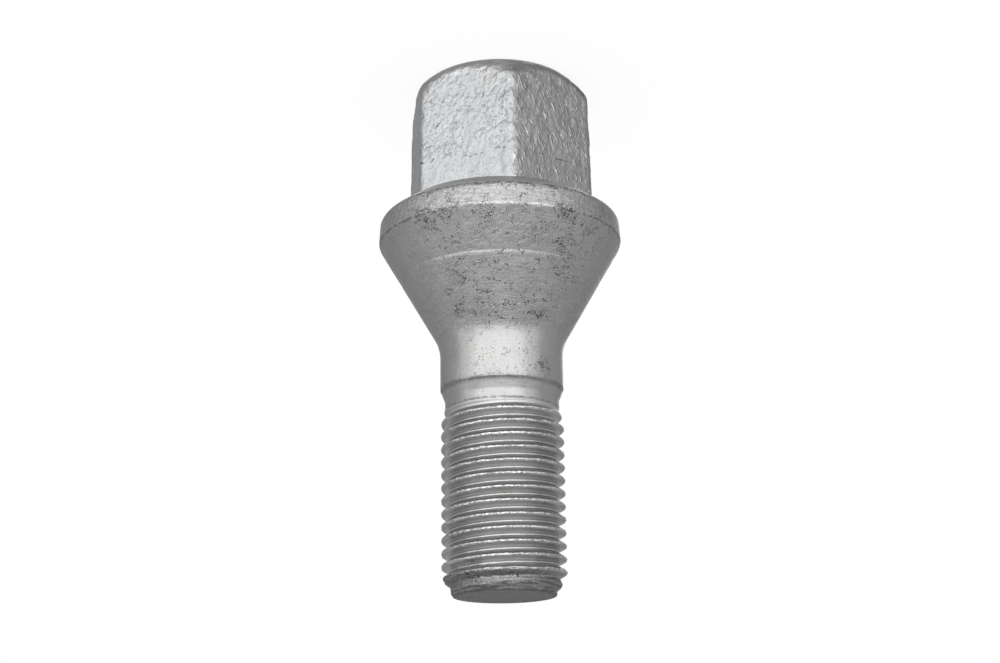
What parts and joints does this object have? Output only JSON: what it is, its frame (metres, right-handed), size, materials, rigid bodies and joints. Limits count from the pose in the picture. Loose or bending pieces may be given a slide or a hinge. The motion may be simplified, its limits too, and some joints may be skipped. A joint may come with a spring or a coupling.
{
  "type": "wheel bolt",
  "caption": "One-piece wheel bolt with a domed hexagon head, a collar with a cone seat, a plain shank and a metric fine thread, for clamping a road wheel to its hub.",
  "frame": {"origin": "centre of the flat top face of the head, on which the bolt stands", "axes": "+Z along the bolt's axis, from the head towards the end of the thread; +X through a flat of the hexagon, +Y through a corner"},
  "size_m": [0.024, 0.024, 0.0514],
  "materials": {
    "zinc_flake_steel": "forged and rolled steel under a thin matt silver-grey zinc flake coat, worn and specked with grime"
  },
  "bodies": {
    "root": {"wheel_bolt": "zinc_flake_steel"}
  },
  "joints": []
}
